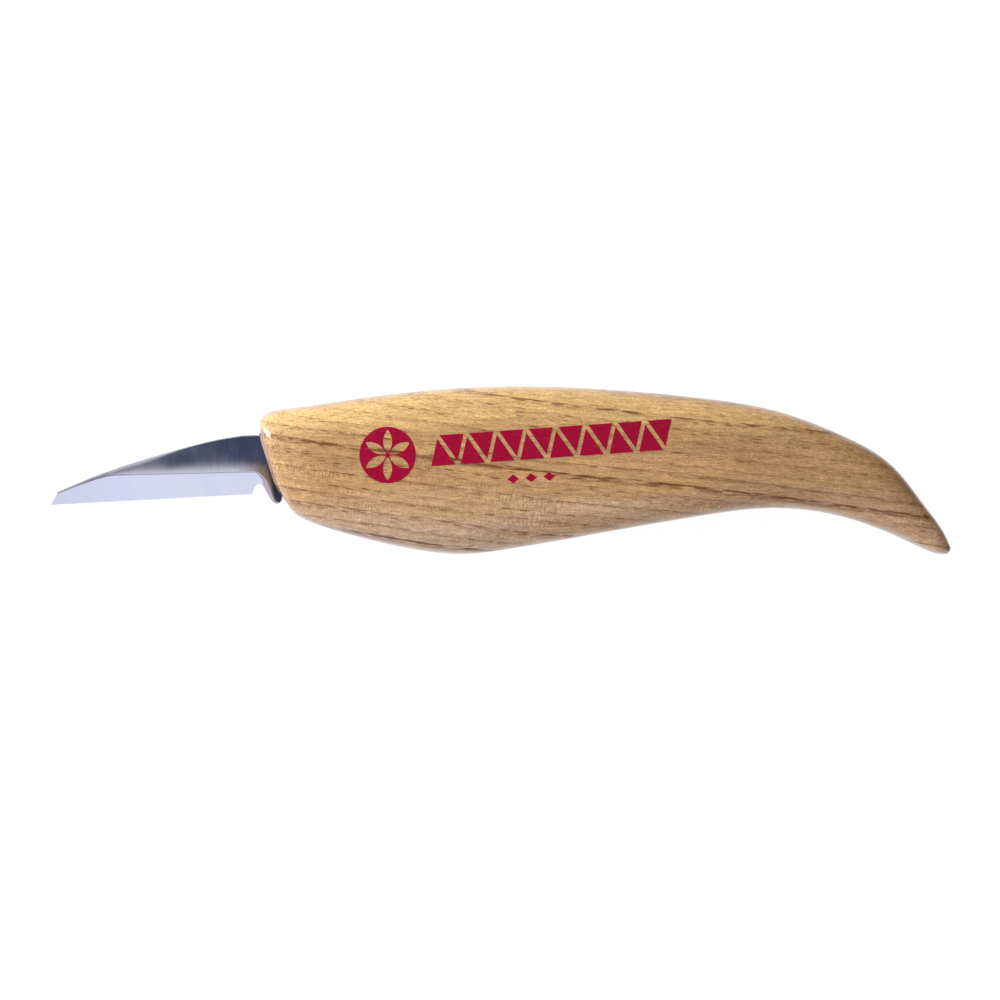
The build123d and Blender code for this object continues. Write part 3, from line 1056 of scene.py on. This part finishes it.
    def _spine_fall(self, x: float, from_spine: float) -> float:
        """Gives how much thinner the blade is near its spine, where it is eased by hand."""
        start, fade = self.spine_eased
        share = float(np.clip((start - x) / fade, 0.0, 1.0))
        drop, reach = (low + (high - low) * share for low, high in (self.spine_ease, self.spine_ease_reach))
        return drop * max(0.0, 1 - from_spine / reach) ** 2

    def build(self) -> bpy.types.Object:
        """Builds the blade.

        Returns:
            The blade's object, without materials.
        """
        rings = []
        for station in self.lines():
            upper = self.side(*station)
            ring = upper + [(x, y, -z) for x, y, z in reversed(upper)]
            rings.append([self.layout.at(*point) for point in ring])
        mesh, all_rings = skin(rings)
        self._mark(mesh, all_rings)
        self._add_tang(mesh, all_rings)
        return as_object(mesh, "blade_steel")

    def _mark(self, mesh: bmesh.types.BMesh, rings: list[list]) -> None:
        """Makes the ground lines sharp, and gives the bevel, the plunge and the crease their materials."""
        count = len(rings[0])
        ground = (0, 2, 3, 4)
        sharp = (*ground, *(count - 1 - row for row in ground), count // 2 - 1, count // 2)
        looks = (SteelLook.BEVEL, SteelLook.BEVEL, SteelLook.PLUNGE, SteelLook.CREASE)
        numbers = {look: number for number, look in enumerate(SteelLook)}
        for before, after in zip(rings, rings[1:]):
            for row in sharp:
                mesh.edges.get((before[row], after[row])).smooth = False
            for row, look in enumerate(looks):
                for near, far in ((row, row + 1), (count - 1 - row, count - 2 - row)):
                    shared = set(before[near].link_faces) & set(before[far].link_faces)
                    for face in shared & set(after[near].link_faces):
                        face.material_index = numbers[look]
        for ring in (rings[0], rings[-1]):
            for a, b in zip(ring, ring[1:] + ring[:1]):
                mesh.edges.get((a, b)).smooth = False

    def _add_tang(self, mesh: bmesh.types.BMesh, rings: list[list]) -> None:
        """Draws the tang out of the rear edge, and narrows it on the way."""
        middle = len(rings[0]) // 2
        rear_x = self.layout.at(self.rear_x, 0).x
        high, low = (self.layout.at(0, y).y for y in self.tang_root)
        slack = self.rear_slack * MM
        faces = []
        for before, after in zip(rings, rings[1:]):
            corners = (before[middle - 1], before[middle], after[middle], after[middle - 1])
            if all(v.co.x > rear_x and low - slack < v.co.y < high + slack for v in corners):
                faces.extend(f for f in before[middle].link_faces if all(v in f.verts for v in corners))
        advance = Vector((self.tang_length * MM / self.tang_steps, 0, 0))
        for step in range(self.tang_steps):
            made = bmesh.ops.extrude_face_region(mesh, geom=faces)["geom"]
            bmesh.ops.delete(mesh, geom=faces, context="FACES_ONLY")
            faces = [part for part in made if isinstance(part, bmesh.types.BMFace)]
            verts = [part for part in made if isinstance(part, bmesh.types.BMVert)]
            bmesh.ops.translate(mesh, vec=advance, verts=verts)
            share = (step + 1) / self.tang_steps
            ends = zip(self.tang_root, self.tang_end)
            top, foot = (self.layout.at(0, root + (end - root) * share).y for root, end in ends)
            lows, highs = min(v.co.y for v in verts), max(v.co.y for v in verts)
            for vertex in verts:
                vertex.co.y = foot + (vertex.co.y - lows) * (top - foot) / (highs - lows)

    def dress(self, piece: bpy.types.Object) -> None:
        """Gives the blade its ground flats and its polished bevel."""
        finish = SteelFinish()
        for look in SteelLook:
            piece.data.materials.append(finish.material(look))


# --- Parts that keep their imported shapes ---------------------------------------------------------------


def carry(material: bpy.types.Material, *nodes: str) -> None:
    """Gives a material to CAD nodes whose shapes are kept, and reports them.

    Args:
        material: the material.
        *nodes: the nodes' names.
    """
    for name in nodes:
        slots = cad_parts[name].data.materials
        slots.clear()
        slots.append(material)
        log.info("%s keeps its packed shape, in %s", name, material.name)


@dataclass(frozen=True)
class TangAdhesive:
    """The adhesive round the tang, which shows as a thin bead at the grip's face."""

    nodes: tuple[str, ...] = ("tang_adhesive",)
    finish: EpoxyFinish = field(default_factory=EpoxyFinish)

    def dress(self) -> None:
        """Gives the adhesive its amber."""
        carry(self.finish.material(), *self.nodes)


@dataclass(frozen=True)
class Ornament:
    """The rosette, the border and the lozenges that are printed on the grip."""

    nodes: tuple[str, ...] = ("print_rosette", "print_border", "print_dots")
    finish: InkFinish = field(default_factory=InkFinish)

    def dress(self) -> None:
        """Gives the ornament its ink."""
        carry(self.finish.material(), *self.nodes)


# --- Studio -------------------------------------------------------------------------------------------


@dataclass
class Studio:
    """A light table in a tent that is bright on the left and in front, with a dark opening overhead."""

    layout: Layout
    frame_width: float = 189.2
    lens: float = 300.0
    aim: Point = (84.95, -5.57)
    opening: Point = (3.2, 11.4)
    tent: float = 0.56
    tent_lean: Triple = (-0.48, 0.20, 0.0)
    tent_limits: Point = (0.03, 1.25)
    skirt: float = 0.17
    flag_towards: Triple = (0.95, 0.31, 0.0)
    flag: float = 1.45
    panel_towards: Triple = (0.0, -0.454, 0.891)
    panel_reach: Point = (22.0, 9.0)
    panel: float = 0.34
    fade_power: float = 3.0
    tint: Triple = (1.0, 1.0, 1.06)
    dark: Colour = (0.044, 0.054, 0.110, 1.0)
    key_at: Triple = (-200.0, 150.0, 150.0)
    key_size: Point = (0.30, 0.26)
    key_power: float = 0.85
    spark_at: Triple = (-274.0, 62.0, 30.0)
    spark_size: Point = (0.06, 0.24)
    spark_power: float = 0.80
    table_size: float = 3.0
    table_grey: Colour = (0.12, 0.12, 0.12, 1.0)
    table_glow: float = 0.95

    def camera(self) -> None:
        """Stands the camera straight over the knife."""
        data = bpy.data.cameras.new("camera")
        data.lens = self.lens
        data.clip_start = 0.01
        distance = self.lens / data.sensor_width * self.frame_width
        camera = bpy.data.objects.new("camera", data)
        camera.location = self.layout.at(*self.aim, distance)
        bpy.context.scene.collection.objects.link(camera)
        bpy.context.scene.camera = camera

    def world(self) -> None:
        """Lights the tent, with its dark opening straight above."""
        world = bpy.data.worlds.new("tent")
        world.use_nodes = True
        bpy.context.scene.world = world
        sheet = Sheet(world.node_tree)
        direction = sheet.add("TexCoord").outputs["Generated"]
        lean, side, near = (
            sheet.vector("DOT_PRODUCT", direction, towards)
            for towards in (self.tent_lean, self.flag_towards, self.panel_towards)
        )
        up = sheet.axis(direction, "Z")
        level_with = sheet.math("SUBTRACT", 1.0, sheet.math("MAXIMUM", up, 0.0))
        flag = sheet.times(self._faded(sheet, side), self.flag)
        skirt = sheet.times(self._faded(sheet, level_with), self.skirt)
        edges = (math.cos(math.radians(angle)) for angle in self.panel_reach)
        panel = sheet.ramp(near, *edges, 0.0, self.panel)
        level = sheet.math("ADD", sheet.math("ADD", lean, self.tent), sheet.math("ADD", panel, skirt))
        level = sheet.math("MAXIMUM", sheet.math("SUBTRACT", level, flag), self.tent_limits[0])
        bright = sheet.amplify(self.tint, sheet.math("MINIMUM", level, self.tent_limits[1]))
        opened = sheet.ramp(sheet.math("ARCCOSINE", up), *(math.radians(angle) for angle in self.opening))
        colour = sheet.mix(opened, self.dark, bright)
        background = sheet.add("Background", {"Color": colour, "Strength": 1.0})
        sheet.add("OutputWorld", {"Surface": background.outputs[0]})

    def _faded(self, sheet: Sheet, value: Any) -> bpy.types.NodeSocket:
        """Lets a value fade sooner on its way from 1 down to 0, as the flag and the skirt do."""
        return sheet.math("POWER", sheet.math("MAXIMUM", value, 0.0), self.fade_power)

    def lamp(self, name: str, place: Sequence[float], size: Point, power: float) -> bpy.types.Object:
        """Sets an area light that looks at the middle of the knife.

        Args:
            name: the light's name.
            place: where it stands from there, in millimetres.
            size: its width and height, in metres.
            power: its power, in watts.

        Returns:
            The light's object.
        """
        data = bpy.data.lights.new(name, "AREA")
        data.shape = "RECTANGLE"
        data.size, data.size_y = size
        data.energy = power
        light = bpy.data.objects.new(name, data)
        middle = self.layout.at(*self.aim)
        light.location = middle + Vector(place) * MM
        light.rotation_euler = (light.location - middle).to_track_quat("Z", "Y").to_euler()
        bpy.context.scene.collection.objects.link(light)
        return light

    def floor(self) -> None:
        """Lays the light table under the knife."""
        mesh = bmesh.new()
        bmesh.ops.create_grid(mesh, x_segments=1, y_segments=1, size=self.table_size)
        floor = as_object(mesh, "floor", smooth=False)
        material, sheet, _ = new_material("light_table")
        sheet.finish(
            {
                "Base Color": self.table_grey, "Roughness": 0.9, "Specular IOR Level": 0.0,
                "Emission Color": (1, 1, 1, 1), "Emission Strength": self.table_glow,
            }
        )
        floor.data.materials.append(material)
        floor.visible_glossy = False

    def build(self) -> None:
        """Sets up the whole studio."""
        bpy.context.scene.view_settings.view_transform = "Standard"
        self.camera()
        self.world()
        key = self.lamp("key", self.key_at, self.key_size, self.key_power)
        key.visible_glossy = False
        spark = self.lamp("spark", self.spark_at, self.spark_size, self.spark_power)
        spark.visible_diffuse = False
        self.floor()


def main() -> None:
    """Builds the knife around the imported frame, and the studio round the knife."""
    logging.basicConfig(level=logging.INFO, format="%(message)s")
    layout = Layout.from_frame(edge_below=-Blade.edge_from[1])
    Studio(layout).build()

    grip = Grip(layout)
    grip_body = grip.build()
    grip.dress(grip_body)
    install(grip_body, "ash_wood", "grip")

    blade = Blade(layout)
    blade_steel = blade.build()
    blade.dress(blade_steel)
    install(blade_steel, "ground_steel", "blade")

    TangAdhesive().dress()
    Ornament().dress()


if __name__ == "__main__":
    main()
